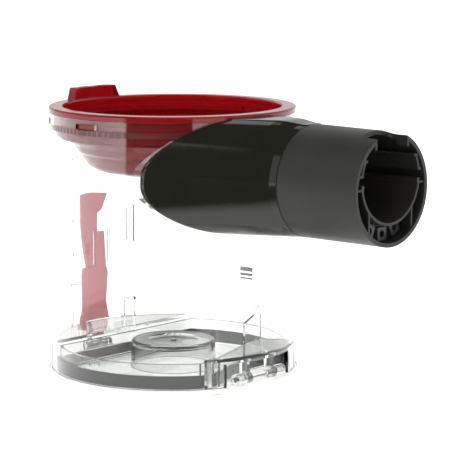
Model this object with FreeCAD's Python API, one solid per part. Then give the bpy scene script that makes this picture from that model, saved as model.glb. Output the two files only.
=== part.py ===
import FreeCAD, Part
import math
import os

V = FreeCAD.Vector

# Clear dust bin of a cyclonic handheld vacuum, in millimetres.
# Origin: centre of the closed base, on the surface that the bin stands on.
# +Z runs up the bin's axis, +X along the inlet tube, and the latch is at -X.

# ---- bin ----
bin_radius = 56.0
bin_wall = 2.2
bin_top = 119.6
part_gap = 0.3
bite = 0.4

# ---- base lid ----
flange_overhang = 1.0
flange_height = 2.3
flange_chamfer = 0.4
plug_gap = 0.4
plug_top = 13.6
plug_wall = 1.6
seal_width = 1.0
seal_bottom = 2.7
seal_top = 8.5
seal_swing = 0.8
shelf_height = 1.6
latch_pocket_depth = 26.0
hinge_pocket_depth = 12.0
finger_pocket_depth = 24.0
pocket_slant_start = -21.0
pocket_slant_end = 14.0
pocket_corner = 25.0
pocket_side = 31.0
floor_rib_pitch = 3.2
floor_rib_width = 1.0
floor_rib_height = 2.4
cup_radius = 19.2
cup_top = 14.6
cup_recess_radius = 11.5
cup_recess_depth = 1.1
cup_wall = 1.5
cup_edge = 1.3
cup_draft = 0.5
nipple_radius = 1.9
fin_height = 34.5
fin_width = 11.0
fin_thickness = 1.4

# ---- hinge ----
hinge_inset = 3.5
hinge_rise = 3.0
pin_radius = 1.2
pin_fit = 0.05
knuckle_radius = 2.6
knuckle_inner = 10.0
knuckle_width = 5.5
lug_width = 3.2
hinge_side_room = 5.0

# ---- latch ----
latch_y = 6.0
catch_width = 11.0
catch_pivot_out = 4.0
catch_pivot_z = 3.0
catch_pin_radius = 1.0
catch_barrel_radius = 2.3
catch_face_out = 5.2
catch_top = 15.0
lip_out = 1.2
lip_bottom = 8.2
lip_height = 1.4
hook_out = 0.5
catch_lug_width = 2.2
catch_spring_width = 3.0

# ---- release slider ----
slider_gap = 1.4
slider_thickness = 2.2
slider_top = 76.0
slider_foot_top = 57.5
slider_waist = 41.0
slider_travel = 6.0
slider_bevel = 4.0

# ---- guides on the latch side ----
guide_out = 1.6
guide_width = 4.4
guide_wall = 1.2
guard_out = 3.6
frame_out = 0.6
comb_start_deg = 157.0
comb_pitch_deg = 1.3
comb_count = 8
comb_depth = 2.3
comb_bottom = 8.0
comb_height = 4.0

# ---- top collar and funnel ----
collar_height = 2.7
collar_edge = 0.7
collar_step = 1.5
collar_lead = 2.4
skirt_wall = 2.0
skirt_gap = 0.8
skirt_length = 9.6
ring_seal_drop = 4.5
ring_seal_height = 2.5
ring_seal_depth = 0.8
tab_height = 5.3
tab_base_width = 31.0
tab_top_width = 25.0
tab_depth = 6.0
tab_step = 1.5
window_width = 11.0
window_drop = 4.3
window_height = 2.2
window_fit = 0.2
snap_reach = 0.9
funnel_wall = 1.8

# ---- inlet ----
airway_radius = 18.35
liner_wall = 1.2
crescent_depth = 7.35
airway_sink = 0.45
tube_wall = 1.8
tube_draft = 0.3
tube_length = 42.5
fairing_length = 28.0
fairing_wall = 2.0
wing_tip_deg = 60.4
wing_runout = 6.0
wing_fullness_top = 2.7
wing_fullness_low = 3.3
shoulder_height = 1.5
shoulder_length = 12.0
gasket_thickness = 0.3
gasket_inset = 0.6
boss_wall = 1.9
boss_height = 0.5
boss_lead_deg = 4.9
boss_half_length = 78.0
boss_face_deg = 46.0
seam_deg = 110.0
trough_open = 3.0
hook_low = 2.5
hook_high = 8.7
notch_half_width = 10.0
notch_length = 8.5
notch_corner = 3.0
lip_depth = 3.7
socket_size = 5.8
socket_margin = 0.5
socket_hole_radius = 1.5
socket_hole_depth = 9.0
socket_pitch_deg = 26.0
terminal_recess = 5.0
terminal_length = 16.0
wire_radius = 0.9
wire_length = 18.0
rear_block_length = 7.0
rear_block_half = 11.0
rear_block_drop = 8.0

# ---- level mark ----
mark_angle_deg = 93.5
mark_half_deg = 4.0
mark_top = 40.3
mark_depth = 0.2
mark_gap = 0.95
mark_bars = (2.0, 1.2, 0.7)

# ---- sizes that follow from the ones above ----
bin_bottom = flange_height + part_gap
bin_inner = bin_radius - bin_wall
wall_root = bin_radius - bite
far_out = 2 * bin_radius

flange_radius = bin_radius + flange_overhang
plug_radius = bin_inner - plug_gap - seal_width
pocket_gap = seal_width + seal_swing
shelf_bottom = plug_top + part_gap
shelf_top = shelf_bottom + shelf_height
latch_chord_x = latch_pocket_depth - bin_radius
hinge_pocket_x = bin_radius - hinge_pocket_depth
finger_pocket_x = bin_radius - finger_pocket_depth

hinge_x = bin_radius - hinge_inset
hinge_z = flange_height + hinge_rise
hinge_reach = knuckle_inner + knuckle_width
hinge_notch_half = hinge_reach + hinge_side_room
hinge_notch_top = shelf_bottom - 0.9

catch_pivot_x = -bin_radius - catch_pivot_out
catch_outer = bin_radius + catch_face_out
lip_radius = bin_radius + lip_out
lip_top = lip_bottom + lip_height
hook_radius = bin_radius + hook_out
hook_bottom = lip_top + part_gap
catch_clear = lip_radius + part_gap
catch_low_y = latch_y - catch_width / 2
catch_high_y = latch_y + catch_width / 2
lug_reach = catch_width / 2 + part_gap + catch_lug_width

slider_inner = bin_radius + slider_gap
slider_outer = slider_inner + slider_thickness
slider_block_bottom = catch_top + part_gap
slider_finger_bottom = flange_height + slider_travel + 1.3

skirt_outer = bin_inner - skirt_gap
skirt_inner = skirt_outer - skirt_wall
skirt_bottom = bin_top - skirt_length
collar_inner = skirt_inner - collar_step
collar_top = bin_top + collar_height
ring_seal_top = bin_top - ring_seal_drop
ring_seal_bottom = ring_seal_top - ring_seal_height
window_bottom = bin_top - window_drop

tube_bore_radius = airway_radius + (liner_wall + crescent_depth - airway_sink) / 2
airway_rise = tube_bore_radius - airway_radius + airway_sink
tube_end_radius = tube_bore_radius + tube_wall
crease_radius = tube_end_radius + tube_draft
crease_x = bin_radius + fairing_length
tube_end_x = crease_x + tube_length
tube_z = bin_top - crease_radius
airway_z = tube_z + airway_rise
airway_outer = airway_radius + liner_wall
fairing_root = bin_radius + gasket_thickness
wing_x = fairing_root * math.cos(math.radians(wing_tip_deg))
wing_shift = fairing_root * math.sin(math.radians(wing_tip_deg)) - crease_radius
below_tube = tube_z - 2 * crease_radius
liner_end_x = tube_end_x - 0.5
socket_circle = tube_bore_radius - socket_size / 2 - socket_margin
bay_half = socket_circle * math.sin(math.radians(socket_pitch_deg)) + socket_size - bite
terminal_front_x = tube_end_x - terminal_recess
terminal_back_x = terminal_front_x - terminal_length
wire_back_x = crease_x - wire_length


def disc(radius, height, z=0.0, x=0.0, y=0.0):
    """Upright cylinder from z upwards."""
    return Part.makeCylinder(radius, height, V(x, y, z), V(0, 0, 1))


def ring(inner, outer, bottom, top):
    """Upright ring about the bin's axis."""
    return disc(outer, top - bottom, bottom).cut(disc(inner, top - bottom, bottom))


def box(x0, x1, y0, y1, z0, z1):
    """Box between two corners."""
    return Part.makeBox(x1 - x0, y1 - y0, z1 - z0, V(x0, y0, z0))


def along_x(radius, x0, x1, y=0.0, z=tube_z):
    """Cylinder along the inlet tube's direction."""
    return Part.makeCylinder(radius, x1 - x0, V(x0, y, z), V(1, 0, 0))


def along_y(radius, y0, y1, x, z):
    """Cylinder along the hinge's direction."""
    return Part.makeCylinder(radius, y1 - y0, V(x, y0, z), V(0, 1, 0))


def polygon_face(points):
    """Flat face through the given points."""
    return Part.Face(Part.makePolygon(points + [points[0]]))


def plate(points, z0, z1):
    """Upright prism over an outline given as x, y."""
    return polygon_face([V(x, y, z0) for x, y in points]).extrude(V(0, 0, z1 - z0))


def wall_relief(points, inner, outer):
    """Raised shape on the latch side of the bin, over an outline given as y, z."""
    prism = polygon_face([V(0, y, z) for y, z in points]).extrude(V(-far_out, 0, 0))
    low = min(z for y, z in points)
    high = max(z for y, z in points)
    return prism.common(ring(inner, outer, low, high))


def rectangle(y0, y1, z0, z1):
    """Outline of an upright rectangle for wall_relief."""
    return [(y0, z0), (y1, z0), (y1, z1), (y0, z1)]


def wall_loop(y0, y1, z0, z1, proud):
    """Raised rectangular loop on the latch side, open down to the bin wall."""
    outer = bin_radius + proud
    hole = rectangle(y0 + guide_wall, y1 - guide_wall, z0 + guide_wall, z1 - guide_wall)
    return wall_relief(rectangle(y0, y1, z0, z1), wall_root, outer).cut(wall_relief(hole, bin_radius, outer))


def fuse_all(shapes):
    """One clean solid from touching or crossing shapes."""
    first = shapes[0]
    return first.fuse(shapes[1:]).removeSplitter() if len(shapes) > 1 else first


def turned(profile):
    """Solid of revolution about the bin's axis from an outline given as radius, z."""
    face = polygon_face([V(r, 0, z) for r, z in profile])
    return face.revolve(V(0, 0, 0), V(0, 0, 1), 360)


def side_curve(x, out, low, high, shift, fullness_low, fullness_high):
    """Half outline in the plane x, bulging to -Y for a negative out; a fullness of 2 is an ellipse."""
    steps = 16
    points = []
    for step in range(steps + 1):
        angle = math.pi * step / steps - math.pi / 2
        fullness = fullness_high if angle > 0 else fullness_low
        height = high if angle > 0 else low
        across = abs(math.cos(angle)) ** (2 / fullness)
        rise = math.copysign(abs(math.sin(angle)) ** (2 / fullness), angle)
        points.append(V(x, shift + out * across, tube_z + height * rise))
    curve = Part.BSplineCurve()
    along = V(0, math.copysign(1, out), 0)
    curve.interpolate(Points=points, InitialTangent=along, FinalTangent=-along)
    return curve.toShape()


def fairing_section(x, radius):
    """Closed outline in the plane x: a round drawn out towards -Y, with a shoulder near the bin."""
    shift = max(wing_taper(x), 0.3)
    share = shift / wing_shift
    high = radius + shoulder(x)
    near = side_curve(x, -radius, radius, high, -shift,
                      2 + (wing_fullness_low - 2) * share, 2 + (wing_fullness_top - 2) * share)
    far = side_curve(x, radius, radius, high, 0, 2, 2)
    top = Part.LineSegment(V(x, 0, tube_z + high), V(x, -shift, tube_z + high)).toShape()
    bottom = Part.LineSegment(V(x, -shift, tube_z - radius), V(x, 0, tube_z - radius)).toShape()
    return Part.Wire([top, near, bottom, far])


def shoulder(x):
    """How far the fairing's top stands above the tube's line."""
    share = min(1, (crease_x - x) / shoulder_length)
    return shoulder_height * share * share * (3 - 2 * share)


def wing_taper(x):
    """How far the fairing is drawn out towards -Y at a distance x from the bin's axis."""
    return wing_shift * (crease_x - x) / (crease_x - wing_x)


def fairing_form(growth):
    """Solid fairing form, grown or shrunk evenly by growth."""
    steps = 4
    places = [wing_x - wing_runout] + [crease_x - shoulder_length * (steps - step) / steps for step in range(steps + 1)]
    return Part.makeLoft([fairing_section(x, crease_radius + growth) for x in places], True, True)


def airway_form(radius):
    """Slanting airway from the tube's root to the bin wall."""
    circle = Part.Circle(V(crease_x, 0, airway_z), V(1, 0, 0), radius)
    face = Part.Face(Part.Wire(circle.toShape()))
    x_end = wing_x + wing_runout
    return face.extrude(V(x_end - crease_x, -wing_taper(x_end), 0))


def hinge_pocket():
    """Outline of the space in front of the plug wall, where the hinge sits."""
    side = plug_radius
    return [(hinge_pocket_x, pocket_slant_start), (finger_pocket_x, pocket_slant_end),
            (finger_pocket_x, pocket_corner), (finger_pocket_x + 8, pocket_side),
            (far_out, pocket_side), (far_out, -side), (hinge_pocket_x, -side)]


def plug_outline(growth):
    """Plan of the base plug, grown evenly by growth."""
    plan = Part.Face(Part.Wire(Part.Circle(V(0, 0, 0), V(0, 0, 1), plug_radius).toShape()))
    front = polygon_face([V(x, y, 0) for x, y in hinge_pocket()])
    reach = plug_radius + 10
    rear = polygon_face([V(latch_chord_x, -reach, 0), V(latch_chord_x, reach, 0),
                         V(-reach, reach, 0), V(-reach, -reach, 0)])
    plan = max(plan.cut(front).cut(rear).Faces, key=lambda piece: piece.Area)
    if growth:
        return plan.makeOffset2D(growth, join=0)
    return plan


def plug_prism(growth, z0, z1):
    """Upright solid over the grown plan of the base plug."""
    solid = plug_outline(growth).extrude(V(0, 0, z1 - z0))
    solid.translate(V(0, 0, z0))
    return solid


def make_pocket_shelves():
    """Walls and roofs that close the bin round the hinge and the latch."""
    inside = disc(bin_inner, shelf_top - bin_bottom, bin_bottom)
    hollow = plug_prism(pocket_gap, bin_bottom - 1, shelf_top + 1)
    thick = plug_prism(pocket_gap + plug_wall, bin_bottom - 1, shelf_top + 1)
    under = disc(bin_inner, shelf_bottom - bin_bottom, bin_bottom).cut(thick)
    pieces = inside.cut(hollow).cut(under).Solids
    largest = max(piece.Volume for piece in pieces)
    return [piece for piece in pieces if piece.Volume > largest / 10]


def make_guides():
    """Ribs, loops and the strike lip on the outside of the latch side."""
    left = latch_y - 19.2
    right = latch_y + 14.4
    shapes = [wall_loop(left, left + guide_width, slider_foot_top - 9.5, slider_foot_top + 8.0, guide_out),
              wall_loop(right, right + guide_width, slider_foot_top - 6.0, slider_foot_top + 11.5, guide_out),
              wall_loop(left, left + guide_width, slider_top + 17.5, slider_top + 28.5, guide_out),
              wall_loop(left, left + 3.6, slider_block_bottom - 1.3, slider_block_bottom + 19.0, guard_out),
              wall_loop(latch_y + 13.0, latch_y + 19.0, slider_block_bottom - 1.3, slider_block_bottom + 8.7,
                        guide_out)]
    rib = rectangle(latch_y + 17.4, latch_y + 18.6, slider_block_bottom + 8.7, slider_waist - 3.0)
    shapes.append(wall_relief(rib, wall_root, bin_radius + guide_wall))
    frame_low = slider_waist + 1.0
    frame_high = slider_foot_top + 1.5
    frame = [(latch_y - 4.6, frame_low), (latch_y - 3.4, frame_low), (latch_y - 3.4, frame_high - guide_wall),
             (latch_y + 4.8, frame_high - guide_wall), (latch_y + 4.8, frame_low), (latch_y + 6.0, frame_low),
             (latch_y + 6.0, frame_high), (latch_y - 4.6, frame_high)]
    shapes.append(wall_relief(frame, wall_root, bin_radius + frame_out))
    lip = rectangle(catch_low_y, catch_high_y, lip_bottom, lip_top)
    shapes.append(wall_relief(lip, wall_root, lip_radius))
    return shapes


def make_comb():
    """Row of small teeth inside the wall of the latch pocket."""
    teeth = []
    for index in range(comb_count):
        tooth = box(bin_inner - comb_depth, bin_inner + bite, -0.3, 0.3, comb_bottom, comb_bottom + comb_height)
        tooth.rotate(V(0, 0, 0), V(0, 0, 1), comb_start_deg + index * comb_pitch_deg)
        teeth.append(tooth)
    return teeth


def make_hinge_lugs():
    """Two lugs under the front shelf that hold the hinge pin."""
    outer = knuckle_inner - part_gap
    lugs = []
    for side in (-1, 1):
        ys = sorted((side * outer, side * (outer - lug_width)))
        eye = along_y(knuckle_radius, ys[0], ys[1], hinge_x, hinge_z)
        web = box(hinge_x - knuckle_radius, hinge_x + knuckle_radius / 4, ys[0], ys[1], hinge_z, shelf_bottom)
        lugs.append(eye.fuse(web).common(disc(bin_radius, shelf_bottom)))
    return lugs


def boss_outline():
    """Elliptic prism that rounds the boss's pointed end, square to the wall beside the inlet."""
    height = crease_radius + boss_wall
    ellipse = Part.Ellipse(V(0, 0, 0), boss_half_length, height)
    prism = Part.Face(Part.Wire(ellipse.toShape())).extrude(V(0, 0, far_out))
    prism.rotate(V(0, 0, 0), V(1, 0, 0), 90)
    tip = bin_radius * math.sin(math.radians(wing_tip_deg + boss_lead_deg - boss_face_deg))
    prism.translate(V(boss_half_length - tip, 0, tube_z))
    prism.rotate(V(0, 0, 0), V(0, 0, 1), 90 - boss_face_deg)
    return prism


def make_boss():
    """Raised rim of the bin round the fairing's root."""
    height = ring(wall_root, bin_radius + boss_height, below_tube, bin_top)
    return fairing_form(boss_wall).common(height).common(boss_outline()).cut(fairing_form(0))


def make_bin_body():
    """Clear cylinder with the inlet boss, the pockets, the guides and the hinge lugs."""
    shell = ring(bin_inner, bin_radius, bin_bottom, bin_top)
    shell.rotate(V(0, 0, 0), V(0, 0, 1), seam_deg)
    notch = box(hinge_pocket_x, far_out, -hinge_notch_half, hinge_notch_half, 0, hinge_notch_top)
    shell = shell.cut(notch)
    details = make_pocket_shelves() + make_guides() + make_comb() + make_hinge_lugs()
    body = fuse_all([shell, make_boss()] + details)
    body = body.cut(along_y(pin_radius, -hinge_reach, hinge_reach, hinge_x, hinge_z))
    opening = airway_form(airway_radius).common(fairing_form(-fairing_wall))
    body = body.cut(opening.common(ring(bin_inner - bin_wall, bin_radius + boss_height, below_tube, bin_top)))
    for angle in snap_angles():
        body = body.cut(snap_window(angle, window_fit, bin_inner - 1, bin_radius + 1))
    return body


def snap_angles():
    """Places of the collar's snaps, clear of the inlet and the tab."""
    return [-131, -89, 45, 89, 131]


def snap_window(angle, clearance, inner, outer):
    """Block across the wall at one snap."""
    block = box(inner, outer, -window_width / 2 - clearance, window_width / 2 + clearance,
                window_bottom - clearance, window_bottom + window_height + clearance)
    block.rotate(V(0, 0, 0), V(0, 0, 1), angle)
    return block


def make_top_collar():
    """Ring, skirt, snaps and the raised tab over the latch."""
    rim = ring(collar_inner, bin_radius, bin_top, collar_top)
    rim = rim.makeFillet(collar_edge, [edge for edge in rim.Edges
                                       if edge.Curve.TypeId == "Part::GeomCircle"
                                       and edge.Vertexes[0].Point.z > collar_top - 0.01])
    skirt = ring(skirt_inner, skirt_outer, skirt_bottom, bin_top)
    lead = ring(collar_inner, skirt_outer, bin_top - collar_lead, bin_top)
    shapes = [rim, skirt, lead, make_tab()]
    for angle in snap_angles():
        shapes.append(snap_window(angle, 0, skirt_outer - 0.5, bin_inner + snap_reach))
    groove = ring(skirt_outer - ring_seal_depth, skirt_outer + 1, ring_seal_bottom, ring_seal_top)
    return fuse_all(shapes).cut(groove)


def make_tab():
    """Raised tab on the collar's inner edge, with two pockets in its top."""
    low = bin_top + collar_edge
    high = collar_top + tab_height
    half_base = tab_base_width / 2
    half_top = tab_top_width / 2
    face = polygon_face([V(0, -half_base, low), V(0, half_base, low), V(0, half_top, high), V(0, -half_top, high)])
    outer = collar_inner + tab_depth
    tab = face.extrude(V(-far_out, 0, 0)).common(ring(collar_inner + tab_step, outer, low, high))
    for side in (-1, 1):
        y = side * half_top / 2
        tab = tab.cut(box(2 - outer, 4 - outer, y - 3, y + 3, high - 0.6, high + 1))
    return tab


def make_funnel():
    """Stepped cone under the collar that the cyclone sits in."""
    lower = [(0, 0), (0, 1.5), (2.6, 1.5), (5.7, 4.4), (7.6, 7.5), (8.9, 8.5), (11.1, 12.1), (12.5, 14.0),
             (14.3, 15.4), (17.9, 16.7), (21.0, 17.0)]
    upper = [(21.0, 17.0 - funnel_wall), (18.6, 16.8 - funnel_wall), (15.4, 13.4), (13.8, 11.8), (11.2, 7.4),
             (8.4, 3.6), (2 + funnel_wall, 0)]
    return turned([(skirt_inner - inward, skirt_bottom - drop) for inward, drop in lower + upper])


def make_duct_fairing():
    """Dark shell that carries the tube into the side of the bin."""
    shell = fairing_form(0).cut(fairing_form(-fairing_wall))
    shell = shell.cut(disc(fairing_root, far_out, below_tube))
    return max(shell.Solids, key=lambda piece: piece.Volume)


def make_inlet_gasket():
    """Seal between the fairing's root and the bin wall."""
    shell = fairing_form(-gasket_inset).cut(fairing_form(-fairing_wall))
    return shell.common(ring(bin_radius, fairing_root, below_tube, bin_top))


def make_airway_floor():
    """Slanting trough that carries the air from the tube to the bin wall."""
    trough = airway_form(airway_outer).cut(airway_form(airway_radius))
    trough = trough.common(box(0, crease_x, -far_out, far_out, below_tube, airway_z - trough_open))
    trough = trough.cut(disc(fairing_root, far_out, below_tube))
    trough = trough.common(fairing_form(-fairing_wall))
    return max(trough.Solids, key=lambda piece: piece.Volume)


def make_inlet_tube():
    """Outer tube with the notch for the wand's catch."""
    cone = Part.makeCone(crease_radius, tube_end_radius, tube_length, V(crease_x, 0, tube_z), V(1, 0, 0))
    tube = cone.cut(along_x(tube_bore_radius, crease_x, tube_end_x))
    back = tube_end_x - notch_length
    notch = box(back, tube_end_x + 1, -notch_half_width, notch_half_width, tube_z, tube_z + 2 * crease_radius)
    notch = notch.makeFillet(notch_corner, [edge for edge in notch.Edges
                                            if abs(edge.CenterOfMass.x - back) < 0.01
                                            and abs(abs(edge.CenterOfMass.y) - notch_half_width) < 0.01])
    shapes = [tube.cut(notch)]
    lip_high = tube_z + math.sqrt(tube_end_radius ** 2 - notch_half_width ** 2) - tube_wall / 2
    for side in (-1, 1):
        ys = sorted((side * notch_half_width, side * (notch_half_width + liner_wall)))
        shapes.append(box(back + notch_corner, tube_end_x, ys[0], ys[1], lip_high - lip_depth, lip_high))
    return fuse_all(shapes + make_hooks())


def make_bore_liner():
    """Lower airway wall inside the tube, with the webs that hold it."""
    lip = airway_rise - trough_open
    shapes = [airway_arc().common(box(crease_x, liner_end_x, -far_out, far_out, below_tube, tube_z + lip))]
    bay_top = airway_rise - math.sqrt((airway_radius + liner_wall / 2) ** 2 - (bay_half + 0.5) ** 2)
    for side in (-1, 1):
        shapes.append(web(side, airway_radius - bite, far_out, lip - 0.5, lip + 0.5))
        shapes.append(along_x(0.9, crease_x, liner_end_x, side * (airway_radius + 0.1), tube_z + lip + 1.1))
        shapes.append(web(side, bay_half, bay_half + 1, -far_out, bay_top))
    inside = along_x(tube_bore_radius, crease_x, liner_end_x)
    return fuse_all([shape.common(inside) for shape in shapes])


def airway_arc():
    """Full round airway wall inside the tube."""
    return along_x(airway_outer, crease_x, liner_end_x, 0, airway_z).cut(
        along_x(airway_radius, crease_x, liner_end_x, 0, airway_z))


def make_hooks():
    """Upper hooks of the airway, moulded on the tube's inner wall."""
    arc = airway_arc()
    tip = airway_rise + hook_high
    root = airway_rise + hook_low
    tip_y = math.sqrt(airway_radius ** 2 - hook_high ** 2) - 0.8
    shapes = []
    for side in (-1, 1):
        shapes.append(arc.common(web(side, 0, far_out, root, tip)))
        shapes.append(web(side, tip_y, far_out, tip - 0.6, tip + 0.6))
        shapes.append(web(side, airway_radius - 0.1, airway_radius + 2.1, root - 0.4, root + 0.7))
    inside = along_x(tube_bore_radius + bite, crease_x, liner_end_x)
    return [shape.common(inside) for shape in shapes]


def web(side, y0, y1, z0, z1):
    """Flat web along the tube; heights are from the tube's axis."""
    ys = sorted((side * y0, side * y1))
    return box(crease_x, liner_end_x, ys[0], ys[1], tube_z + z0, tube_z + z1)


def socket_place(index):
    """Angle about the tube's axis of one terminal socket."""
    return (index - 1) * socket_pitch_deg


def socket_block(index, size, x0, x1):
    """Square bar along the tube at one socket's place."""
    block = box(x0, x1, -size / 2, size / 2, -socket_circle - size / 2, -socket_circle + size / 2)
    block.rotate(V(0, 0, 0), V(1, 0, 0), socket_place(index))
    block.translate(V(0, 0, tube_z))
    return block


def socket_bar(index, radius, x0, x1):
    """Round bar along the tube at one socket's place."""
    angle = math.radians(socket_place(index))
    return along_x(radius, x0, x1, socket_circle * math.sin(angle), tube_z - socket_circle * math.cos(angle))


def make_terminal_block():
    """Insulator that fills the crescent under the airway."""
    front = terminal_front_x - 1.2
    block = along_x(tube_bore_radius, terminal_back_x, front)
    block = block.cut(along_x(airway_outer, terminal_back_x, front, 0, airway_z))
    block = block.common(box(0, tube_end_x, -bay_half, bay_half, below_tube, tube_z))
    for index in range(3):
        block = block.cut(socket_block(index, socket_size, terminal_back_x, front))
    return block


def make_terminal_sockets():
    """Three square sockets that meet the wand's contacts."""
    sockets = []
    for index in range(3):
        block = socket_block(index, socket_size, terminal_back_x, terminal_front_x)
        hole = socket_bar(index, socket_hole_radius, terminal_front_x - socket_hole_depth, terminal_front_x)
        sockets.append(block.cut(hole))
    return Part.makeCompound(sockets)


def make_contact_wires():
    """Three insulated conductors behind the sockets."""
    return Part.makeCompound([socket_bar(index, wire_radius, wire_back_x, terminal_back_x) for index in range(3)])


def make_rear_connector():
    """Block in the fairing's root that the conductors end in."""
    x0 = wire_back_x - rear_block_length
    block = along_x(crease_radius - fairing_wall - part_gap, x0, wire_back_x)
    block = block.cut(airway_form(airway_outer + part_gap))
    low = box(0, tube_end_x, -rear_block_half, rear_block_half, below_tube, tube_z - rear_block_drop)
    return max(block.common(low).Solids, key=lambda piece: piece.Volume)


def make_level_mark():
    """Three printed bars of falling thickness on the bin wall."""
    bars = []
    top = mark_top
    start = math.radians(mark_angle_deg - mark_half_deg)
    end = math.radians(mark_angle_deg + mark_half_deg)
    sector = [(0, 0), (far_out * math.cos(start), far_out * math.sin(start)),
              (far_out * math.cos(end), far_out * math.sin(end))]
    for thickness in mark_bars:
        bar = ring(bin_radius, bin_radius + mark_depth, top - thickness, top)
        bars.append(bar.common(plate(sector, top - thickness, top)))
        top -= thickness + mark_gap
    return Part.makeCompound(bars)


def make_collar_seal():
    """Soft ring in the collar's groove."""
    return ring(skirt_outer - ring_seal_depth, bin_inner, ring_seal_bottom, ring_seal_top)


def make_fin():
    """Curved-backed fin on the plug wall beside the hinge."""
    x = finger_pocket_x - plug_wall
    y = pocket_corner
    back = y - fin_width
    fin = polygon_face([V(x, y, plug_top - 3), V(x, y, fin_height), V(x, y - 1.8, fin_height - 4.5),
                        V(x, y - 4.6, fin_height - 8.0), V(x, back, fin_height - 11.0), V(x, back, plug_top - 3)])
    return fin.extrude(V(fin_thickness, 0, 0))


def make_base_lid():
    """Clear base with its plug wall, floor ribs, fin, hinge knuckles and latch lugs."""
    flange = disc(flange_radius, flange_height)
    flange = flange.makeChamfer(flange_chamfer, [edge for edge in flange.Edges if edge.Length > flange_radius
                                                 and edge.CenterOfMass.z < 0.1])
    wall = plug_prism(0, flange_height, plug_top).cut(plug_prism(-plug_wall, flange_height, plug_top))
    shapes = [flange, wall, make_fin()]
    rib_half = math.sqrt(plug_radius ** 2 - latch_chord_x ** 2) - 8.9
    for index in range(3):
        offset = index * floor_rib_pitch
        x = latch_chord_x + plug_wall + floor_rib_width + offset
        shapes.append(box(x, x + floor_rib_width, offset - rib_half, rib_half - offset,
                          flange_height, flange_height + floor_rib_height))
    for side in (-1, 1):
        ys = sorted((side * knuckle_inner, side * hinge_reach))
        knuckle = along_y(knuckle_radius, ys[0], ys[1], hinge_x, hinge_z)
        foot = box(hinge_x - knuckle_radius, hinge_x + knuckle_radius - 0.6, ys[0], ys[1], 1.0, hinge_z)
        shapes.append(knuckle.fuse(foot))
        ys = sorted((latch_y + side * (catch_width / 2 + part_gap), latch_y + side * lug_reach))
        lug = along_y(catch_barrel_radius + 0.4, ys[0], ys[1], catch_pivot_x, catch_pivot_z)
        tie = box(catch_pivot_x, -hinge_x, ys[0], ys[1], flange_chamfer, flange_height)
        shapes.append(lug.fuse(tie))
    lid = fuse_all(shapes)
    lid = lid.cut(along_y(pin_radius + pin_fit, -hinge_reach, hinge_reach, hinge_x, hinge_z))
    return lid.cut(along_y(catch_pin_radius, latch_y - lug_reach, latch_y + lug_reach, catch_pivot_x, catch_pivot_z))


def make_centre_cup():
    """Round clear boss that closes the cyclone's fine dust tube."""
    base = flange_height
    recess = cup_top - cup_recess_depth
    roof = recess - cup_wall
    outline = [(0, roof), (0, recess + 0.8), (nipple_radius - 0.5, recess + 0.7), (nipple_radius, recess),
               (cup_recess_radius, recess), (cup_recess_radius + 0.5, cup_top), (cup_radius, cup_top),
               (cup_radius + cup_draft, base), (cup_radius + cup_draft - cup_wall, base),
               (cup_radius - cup_wall, roof)]
    cup = turned(outline)
    return cup.makeFillet(cup_edge, [edge for edge in cup.Edges if edge.Curve.TypeId == "Part::GeomCircle"
                                     and abs(edge.Curve.Radius - cup_radius) < 0.01
                                     and edge.Vertexes[0].Point.z > recess])


def make_base_seal():
    """Dark seal round the plug wall."""
    return plug_prism(seal_width, seal_bottom, seal_top).cut(plug_prism(0, seal_bottom - 1, seal_top + 1))


def make_hinge_pin():
    """Pin pressed into the bin's two lugs."""
    reach = hinge_reach - bite
    return along_y(pin_radius, -reach, reach, hinge_x, hinge_z)


def make_catch_pin():
    """Pin through the lid's latch lugs."""
    return along_y(catch_pin_radius, latch_y - lug_reach, latch_y + lug_reach, catch_pivot_x, catch_pivot_z)


def make_base_catch():
    """Sprung clear catch that hooks over the lip on the bin wall."""
    y0 = catch_low_y
    barrel = along_y(catch_barrel_radius, y0, catch_high_y, catch_pivot_x, catch_pivot_z)
    nose = -catch_outer + catch_barrel_radius
    profile = [V(-catch_outer, y0, catch_pivot_z), V(-catch_outer, y0, catch_top), V(nose, y0, catch_top),
               V(-hook_radius, y0, catch_top - 3), V(-hook_radius, y0, hook_bottom),
               V(-catch_clear, y0, hook_bottom), V(-catch_clear, y0, catch_pivot_z + 1.4),
               V(catch_pivot_x + 1.0, y0, catch_pivot_z)]
    block = polygon_face(profile).extrude(V(0, catch_width, 0))
    block = block.cut(disc(hook_radius, 2 * catch_top))
    half = catch_spring_width / 2 + part_gap
    gap = along_y(catch_barrel_radius + part_gap, latch_y - half, latch_y + half, catch_pivot_x, catch_pivot_z)
    bore = along_y(catch_pin_radius + pin_fit, y0, catch_high_y, catch_pivot_x, catch_pivot_z)
    return fuse_all([block, barrel]).cut(gap).cut(bore)


def make_catch_spring():
    """Torsion coil round the catch pin."""
    half = catch_spring_width / 2
    coil = along_y(catch_barrel_radius - 0.2, latch_y - half, latch_y + half, catch_pivot_x, catch_pivot_z)
    return coil.cut(along_y(catch_pin_radius, latch_y - half, latch_y + half, catch_pivot_x, catch_pivot_z))


def make_release_slider():
    """Upper red push arm on the outside of the bin."""
    left = latch_y - 11.3
    stem = latch_y - 2.8
    outline = [(left, slider_top), (latch_y - 4.0, slider_top + 0.6), (latch_y + 5.7, slider_top - 0.4),
               (latch_y + 2.3, slider_top - 8.0), (latch_y - 0.9, slider_top - 9.4),
               (latch_y - 1.2, slider_foot_top), (stem, slider_foot_top), (stem, slider_waist),
               (latch_y - 7.0, slider_waist), (latch_y - 10.6, slider_foot_top - 1.5), (left, slider_top - 14.0)]
    return wall_relief(outline, slider_inner, slider_outer)


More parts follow.
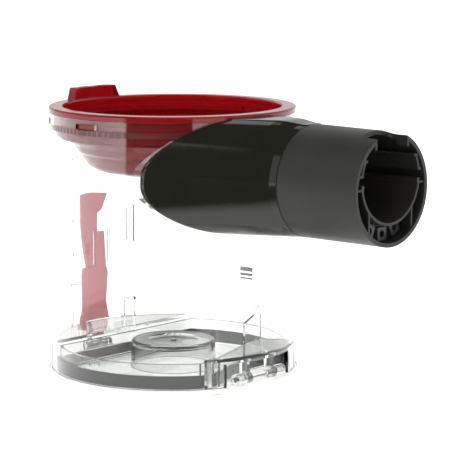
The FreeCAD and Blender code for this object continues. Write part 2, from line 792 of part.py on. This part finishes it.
def make_release_foot():
    """Lower red block that drives the catch."""
    low = slider_block_bottom
    waist = slider_waist - 0.2
    stem = latch_y - 2.6
    block_left = catch_low_y - 2.7
    block_right = catch_high_y + 0.7
    finger = latch_y - lug_reach - 0.6
    outline = [(stem, slider_foot_top), (latch_y + 3.7, slider_foot_top), (latch_y + 4.7, waist),
               (latch_y + 5.7, waist - 3.0), (latch_y + 5.2, low + 14.7), (latch_y + 4.4, low + 8.7),
               (block_right, low), (block_left, low), (finger, slider_finger_bottom),
               (finger - 5.3, slider_finger_bottom + 0.8), (finger - 4.8, low - 1.3), (latch_y - 10.4, low + 4.7),
               (latch_y - 10.6, waist - 3.0), (latch_y - 9.4, waist), (stem, waist)]
    foot = wall_relief(outline, slider_inner, slider_outer)
    bevel = turned([(slider_inner + 0.5, low), (far_out, low), (far_out, low + slider_bevel),
                    (slider_outer, low + slider_bevel)])
    return foot.cut(bevel.common(box(-far_out, 0, block_left, far_out, low, low + slider_bevel)))


PARTS = {
    "bin_body": make_bin_body,
    "top_collar": make_top_collar,
    "inlet_funnel": make_funnel,
    "collar_seal": make_collar_seal,
    "duct_fairing": make_duct_fairing,
    "inlet_gasket": make_inlet_gasket,
    "airway_floor": make_airway_floor,
    "inlet_tube": make_inlet_tube,
    "bore_liner": make_bore_liner,
    "terminal_block": make_terminal_block,
    "terminal_sockets": make_terminal_sockets,
    "contact_wires": make_contact_wires,
    "rear_connector": make_rear_connector,
    "level_mark": make_level_mark,
    "hinge_pin": make_hinge_pin,
    "base_lid": make_base_lid,
    "base_seal": make_base_seal,
    "centre_cup": make_centre_cup,
    "catch_pin": make_catch_pin,
    "catch_spring": make_catch_spring,
    "base_catch": make_base_catch,
    "release_slider": make_release_slider,
    "release_foot": make_release_foot,
}

os.makedirs("parts", exist_ok=True)
for name, make in PARTS.items():
    shape = make()
    shape.exportStep("parts/" + name + ".step")
    bounds = shape.optimalBoundingBox(False)
    print(f"{name:18s} solids {len(shape.Solids)} valid {shape.isValid()} volume {shape.Volume:9.1f} "
          f"x {bounds.XMin:7.1f} {bounds.XMax:7.1f} y {bounds.YMin:7.1f} {bounds.YMax:7.1f} "
          f"z {bounds.ZMin:7.1f} {bounds.ZMax:7.1f}")
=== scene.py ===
import math

import bpy
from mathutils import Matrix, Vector

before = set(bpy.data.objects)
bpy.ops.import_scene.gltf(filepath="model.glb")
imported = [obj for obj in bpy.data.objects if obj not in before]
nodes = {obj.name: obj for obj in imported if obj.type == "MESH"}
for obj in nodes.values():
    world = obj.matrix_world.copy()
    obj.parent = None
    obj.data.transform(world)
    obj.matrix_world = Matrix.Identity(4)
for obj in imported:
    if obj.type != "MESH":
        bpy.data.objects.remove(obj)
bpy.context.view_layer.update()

# Plastic: refractive index, edge rounding in metres, share of the colour left where it is cloudy,
# and the depth in metres of the flow marks in clear plastic.
PLASTIC_IOR = 1.49
MOULDED_EDGE = 0.0004
CLOUD_SHADE = 0.94
FLOW_DEPTH = 0.00003
WALL_ABSORPTION = 40.0

# Studio: direction of the unlit sector and the cosine of its half width, the strengths that
# reflections see, the height of the dark canopy, and the strengths seen through clear plastic.
GAP_DIRECTION = (0.5225, -0.8526, 0.0)
GAP_COSINE = 0.862
GAP_BLEND = 0.008
ROOM_BRIGHT = 0.8
ROOM_DARK = 0.06
CANOPY_HEIGHT = 0.72
CANOPY_BLEND = 0.03
THROUGH_DARK = 0.15
WORLD_WHITE = 1.25

# Floor: width, and the distances between which its painted reflection, a dark sector that only reflections
# see, fades in, in metres.
FLOOR_WIDTH = 6.0
FLOOR_GLOW = 0.25
PAINTED_REFLECTION_FADE_NEAR = 0.12
PAINTED_REFLECTION_FADE_FAR = 0.20

# Camera and lamps, in metres, degrees and millimetres of lens.
CAMERA_PLACE = (0.6759, -0.7007, 0.2177)
CAMERA_TILT = 81.14
CAMERA_TURN = 42.5
CAMERA_LENS = 170.6
CAMERA_SENSOR = 36.0
LAMP_AIM = (0, 0, 0.07)


# ---- shader helpers ----

def new_material(name):
    """Empty node material with its output node."""
    material = bpy.data.materials.new(name)
    material.use_nodes = True
    tree = material.node_tree
    tree.nodes.clear()
    output = tree.nodes.new("ShaderNodeOutputMaterial")
    return material, tree, output


def add(tree, kind, **inputs):
    """New node with its sockets set by name (underscores stand for spaces)."""
    node = tree.nodes.new(kind)
    for key, value in inputs.items():
        node.inputs[key.replace("_", " ")].default_value = value
    return node


def noise(tree, scale, detail=3.0, roughness=0.5, stretch=(1, 1, 1)):
    """Noise pattern in object space, in cycles per metre."""
    place = tree.nodes.new("ShaderNodeTexCoord")
    mapping = add(tree, "ShaderNodeMapping", Scale=stretch)
    tree.links.new(place.outputs["Object"], mapping.inputs["Vector"])
    texture = add(tree, "ShaderNodeTexNoise", Scale=scale, Detail=detail, Roughness=roughness)
    tree.links.new(mapping.outputs["Vector"], texture.inputs["Vector"])
    return texture.outputs["Fac"]


def remap(tree, source, low, high, from_low=0.3, from_high=0.7):
    """Stretches a 0 to 1 pattern to low and high."""
    node = add(tree, "ShaderNodeMapRange", From_Min=from_low, From_Max=from_high, To_Min=low, To_Max=high)
    tree.links.new(source, node.inputs["Value"])
    return node.outputs["Result"]


def mix_colour(tree, factor, first, second):
    """Blend of two colours by a pattern."""
    node = tree.nodes.new("ShaderNodeMix")
    node.data_type = "RGBA"
    node.inputs["A"].default_value = (*first, 1)
    node.inputs["B"].default_value = (*second, 1)
    tree.links.new(factor, node.inputs["Factor"])
    return node.outputs["Result"]


def bump(tree, height, distance, strength=1.0, normal=None):
    """Normal from a height pattern; distance is in metres."""
    node = add(tree, "ShaderNodeBump", Strength=strength, Distance=distance)
    tree.links.new(height, node.inputs["Height"])
    if normal is not None:
        tree.links.new(normal, node.inputs["Normal"])
    return node.outputs["Normal"]


def soft_edges(tree, radius):
    """Normal that rounds sharp moulded edges."""
    node = add(tree, "ShaderNodeBevel", Radius=radius)
    node.samples = 4
    return node.outputs["Normal"]


def moulded(name, dark, light, rough_low, rough_high, grain, grain_depth, edge=MOULDED_EDGE, specular=0.5):
    """Opaque moulded plastic or rubber with grain, mottling and rounded edges."""
    material, tree, output = new_material(name)
    shader = add(tree, "ShaderNodeBsdfPrincipled", Specular_IOR_Level=specular)
    tint = remap(tree, noise(tree, 60, 4), 0, 1)
    tree.links.new(mix_colour(tree, tint, dark, light), shader.inputs["Base Color"])
    smears = remap(tree, noise(tree, 35, 5, 0.6), rough_low, rough_high)
    tree.links.new(smears, shader.inputs["Roughness"])
    normal = bump(tree, noise(tree, grain, 2), grain_depth, 0.6, soft_edges(tree, edge))
    tree.links.new(normal, shader.inputs["Normal"])
    tree.links.new(shader.outputs["BSDF"], output.inputs["Surface"])
    return material


def see_through(name, colour, lamp_tint, rough_low, rough_high, absorb=None, solid=0.0, edge=0.0):
    """Clear or tinted plastic that lets lamps through; solid is the share of it that is pigment."""
    material, tree, output = new_material(name)
    shader = add(tree, "ShaderNodeBsdfPrincipled", IOR=PLASTIC_IOR, Transmission_Weight=1.0 - solid)
    cloud = remap(tree, noise(tree, 30, 3, 0.5), 0, 1)
    shade = tuple(CLOUD_SHADE * part for part in colour)
    tree.links.new(mix_colour(tree, cloud, shade, colour), shader.inputs["Base Color"])
    smears = remap(tree, noise(tree, 24, 5, 0.65), rough_low, rough_high)
    tree.links.new(smears, shader.inputs["Roughness"])
    flow = noise(tree, 18, 2, 0.4, (1, 1, 0.35))
    start = soft_edges(tree, edge) if edge else None
    tree.links.new(bump(tree, flow, FLOW_DEPTH, 1.0, start), shader.inputs["Normal"])
    through = add(tree, "ShaderNodeBsdfTransparent", Color=(*lamp_tint, 1))
    path = tree.nodes.new("ShaderNodeLightPath")
    blend = tree.nodes.new("ShaderNodeMixShader")
    tree.links.new(path.outputs["Is Shadow Ray"], blend.inputs["Fac"])
    tree.links.new(shader.outputs["BSDF"], blend.inputs[1])
    tree.links.new(through.outputs["BSDF"], blend.inputs[2])
    tree.links.new(blend.outputs["Shader"], output.inputs["Surface"])
    if absorb:
        depth = add(tree, "ShaderNodeVolumeAbsorption", Color=(*absorb[0], 1), Density=absorb[1])
        tree.links.new(depth.outputs["Volume"], output.inputs["Volume"])
    return material


def metal(name, colour, roughness):
    """Drawn wire or pin."""
    material, tree, output = new_material(name)
    shader = add(tree, "ShaderNodeBsdfPrincipled", Base_Color=(*colour, 1), Metallic=1.0)
    drawn = noise(tree, 900, 2, 0.5, (1, 0.05, 1))
    tree.links.new(remap(tree, drawn, roughness * 0.7, roughness * 1.3), shader.inputs["Roughness"])
    tree.links.new(bump(tree, drawn, 0.00002), shader.inputs["Normal"])
    tree.links.new(shader.outputs["BSDF"], output.inputs["Surface"])
    return material


# ---- materials ----

clear = see_through("clear_polycarbonate", (0.985, 0.99, 0.985), (0.95, 0.96, 0.95), 0.0, 0.02,
                    absorb=((0.55, 0.58, 0.56), WALL_ABSORPTION))
red = see_through("red_polycarbonate", (0.27, 0.004, 0.006), (0.45, 0.04, 0.04), 0.04, 0.12, solid=0.45,
                  edge=MOULDED_EDGE)
red_rod = see_through("red_slider_plastic", (0.62, 0.05, 0.09), (0.7, 0.15, 0.2), 0.12, 0.2, solid=0.5,
                      edge=MOULDED_EDGE)
red_silicone = moulded("red_silicone", (0.10, 0.004, 0.006), (0.14, 0.006, 0.009), 0.4, 0.55, 900, 0.00003)
gloss_black = moulded("olive_black_gloss", (0.0060, 0.0066, 0.0042), (0.0078, 0.0082, 0.0054),
                      0.06, 0.11, 700, 0.000006)
satin = moulded("satin_grey", (0.011, 0.0107, 0.0100), (0.0135, 0.0131, 0.0123), 0.36, 0.46, 1600, 0.00004,
               specular=0.35)
black = moulded("black_moulded", (0.003, 0.003, 0.003), (0.005, 0.005, 0.005), 0.4, 0.5, 1200, 0.00003,
                specular=0.3)
rubber = moulded("dark_rubber", (0.006, 0.006, 0.0065), (0.010, 0.010, 0.0105), 0.35, 0.5, 1500, 0.00005)
socket_grey = moulded("socket_grey", (0.025, 0.025, 0.024), (0.035, 0.035, 0.034), 0.35, 0.45, 1200, 0.00003)
ink = moulded("mark_ink", (0.03, 0.03, 0.032), (0.05, 0.05, 0.052), 0.45, 0.6, 2000, 0.00001, edge=0.00005)
steel = metal("drawn_steel", (0.62, 0.61, 0.60), 0.25)

LOOKS = {
    "bin_body": clear,
    "top_collar": red,
    "inlet_funnel": red,
    "collar_seal": red_silicone,
    "duct_fairing": gloss_black,
    "inlet_gasket": rubber,
    "airway_floor": black,
    "inlet_tube": satin,
    "bore_liner": satin,
    "terminal_block": black,
    "terminal_sockets": socket_grey,
    "contact_wires": black,
    "rear_connector": black,
    "level_mark": ink,
    "hinge_pin": clear,
    "base_lid": clear,
    "base_seal": rubber,
    "centre_cup": clear,
    "catch_pin": steel,
    "catch_spring": steel,
    "base_catch": clear,
    "release_slider": red_rod,
    "release_foot": red_rod,
}
for name, material in LOOKS.items():
    for slot in nodes[name].material_slots:
        slot.material = material


# ---- floor, light and camera ----

def outside_gap(tree, direction):
    """One outside the unlit sector of the studio, zero within it."""
    level = add(tree, "ShaderNodeVectorMath")
    level.operation = "MULTIPLY"
    level.inputs[1].default_value = (1, 1, 0)
    tree.links.new(direction, level.inputs[0])
    unit = add(tree, "ShaderNodeVectorMath")
    unit.operation = "NORMALIZE"
    tree.links.new(level.outputs["Vector"], unit.inputs[0])
    towards = add(tree, "ShaderNodeVectorMath")
    towards.operation = "DOT_PRODUCT"
    towards.inputs[1].default_value = GAP_DIRECTION
    tree.links.new(unit.outputs["Vector"], towards.inputs[0])
    return remap(tree, towards.outputs["Value"], 1.0, 0.0, GAP_COSINE - GAP_BLEND, GAP_COSINE + GAP_BLEND)


def multiply(tree, first, second):
    """Product of two patterns."""
    node = tree.nodes.new("ShaderNodeMath")
    node.operation = "MULTIPLY"
    tree.links.new(first, node.inputs[0])
    tree.links.new(second, node.inputs[1])
    return node.outputs["Value"]


def make_floor():
    """Pale sheet with a painted reflection: reflections see it painted dark in the unlit sector, away from
    the object.
    """
    bpy.ops.mesh.primitive_grid_add(size=FLOOR_WIDTH, x_subdivisions=8, y_subdivisions=8, location=(0, 0, 0))
    floor = bpy.context.object
    floor.name = "studio_floor"
    material, tree, output = new_material("pale_floor_painted_reflection")
    sheet = add(tree, "ShaderNodeBsdfPrincipled", Base_Color=(0.93, 0.93, 0.93, 1), Roughness=0.9,
                Specular_IOR_Level=0.1, Emission_Color=(1, 1, 1, 1), Emission_Strength=FLOOR_GLOW)
    # Painted reflection: a dark sheet that only glossy rays see on the floor, in the unlit sector beyond the
    # fade distance.
    dark = add(tree, "ShaderNodeBsdfDiffuse", Color=(0.05, 0.05, 0.05, 1))
    place = tree.nodes.new("ShaderNodeTexCoord")
    far = add(tree, "ShaderNodeVectorMath")
    far.operation = "LENGTH"
    tree.links.new(place.outputs["Object"], far.inputs[0])
    beyond = remap(tree, far.outputs["Value"], 0.0, 1.0, PAINTED_REFLECTION_FADE_NEAR, PAINTED_REFLECTION_FADE_FAR)
    gap = outside_gap(tree, place.outputs["Object"])
    inside = add(tree, "ShaderNodeMath")
    inside.operation = "SUBTRACT"
    inside.inputs[0].default_value = 1.0
    tree.links.new(gap, inside.inputs[1])
    path = tree.nodes.new("ShaderNodeLightPath")
    painted_reflection_share = multiply(tree, multiply(tree, beyond, inside.outputs["Value"]), path.outputs["Is Glossy Ray"])
    blend = tree.nodes.new("ShaderNodeMixShader")
    tree.links.new(painted_reflection_share, blend.inputs["Fac"])
    tree.links.new(sheet.outputs["BSDF"], blend.inputs[1])
    tree.links.new(dark.outputs["BSDF"], blend.inputs[2])
    tree.links.new(blend.outputs["Shader"], output.inputs["Surface"])
    floor.data.materials.append(material)


def make_softbox(name, place, aim, width, height, power):
    """Rectangular area light."""
    data = bpy.data.lights.new(name, "AREA")
    data.shape = "RECTANGLE"
    data.size = width
    data.size_y = height
    data.energy = power
    lamp = bpy.data.objects.new(name, data)
    bpy.context.scene.collection.objects.link(lamp)
    lamp.location = place
    lamp.rotation_euler = (Vector(aim) - Vector(place)).to_track_quat("-Z", "Y").to_euler()
    lamp.visible_glossy = False


def make_world():
    """White studio; reflections see a dark canopy and sector, clear plastic only the canopy."""
    world = bpy.data.worlds.new("studio")
    bpy.context.scene.world = world
    world.use_nodes = True
    tree = world.node_tree
    white = tree.nodes["Background"]
    white.inputs["Color"].default_value = (1, 1, 1, 1)
    white.inputs["Strength"].default_value = WORLD_WHITE
    place = tree.nodes.new("ShaderNodeTexCoord")
    split = tree.nodes.new("ShaderNodeSeparateXYZ")
    tree.links.new(place.outputs["Generated"], split.inputs["Vector"])
    below = remap(tree, split.outputs["Z"], 1.0, 0.0,
                  CANOPY_HEIGHT - CANOPY_BLEND, CANOPY_HEIGHT + CANOPY_BLEND)
    lit = multiply(tree, below, outside_gap(tree, place.outputs["Generated"]))
    room = add(tree, "ShaderNodeBackground", Color=(1, 1, 1, 1))
    tree.links.new(remap(tree, lit, ROOM_DARK, ROOM_BRIGHT, 0.0, 1.0), room.inputs["Strength"])
    canopy = add(tree, "ShaderNodeBackground", Color=(1, 1, 1, 1))
    tree.links.new(remap(tree, below, THROUGH_DARK, WORLD_WHITE, 0.0, 1.0), canopy.inputs["Strength"])
    path = tree.nodes.new("ShaderNodeLightPath")
    in_glass = tree.nodes.new("ShaderNodeMixShader")
    tree.links.new(path.outputs["Is Transmission Ray"], in_glass.inputs["Fac"])
    tree.links.new(white.outputs["Background"], in_glass.inputs[1])
    tree.links.new(canopy.outputs["Background"], in_glass.inputs[2])
    blend = tree.nodes.new("ShaderNodeMixShader")
    tree.links.new(path.outputs["Is Glossy Ray"], blend.inputs["Fac"])
    tree.links.new(in_glass.outputs["Shader"], blend.inputs[1])
    tree.links.new(room.outputs["Background"], blend.inputs[2])
    tree.links.new(blend.outputs["Shader"], tree.nodes["World Output"].inputs["Surface"])


def make_camera():
    """Camera at the product shot's angle."""
    data = bpy.data.cameras.new("camera")
    data.lens = CAMERA_LENS
    data.sensor_width = CAMERA_SENSOR
    camera = bpy.data.objects.new("camera", data)
    bpy.context.scene.collection.objects.link(camera)
    camera.location = CAMERA_PLACE
    camera.rotation_euler = (math.radians(CAMERA_TILT), 0, math.radians(CAMERA_TURN))
    bpy.context.scene.camera = camera


make_floor()
make_world()
make_camera()
make_softbox("top_softbox", (0.15, -0.1, 1.5), LAMP_AIM, 1.2, 1.2, 9)
make_softbox("front_softbox", (0.2, -1.3, 0.5), LAMP_AIM, 0.9, 0.9, 7)
bpy.context.scene.view_settings.view_transform = "Standard"
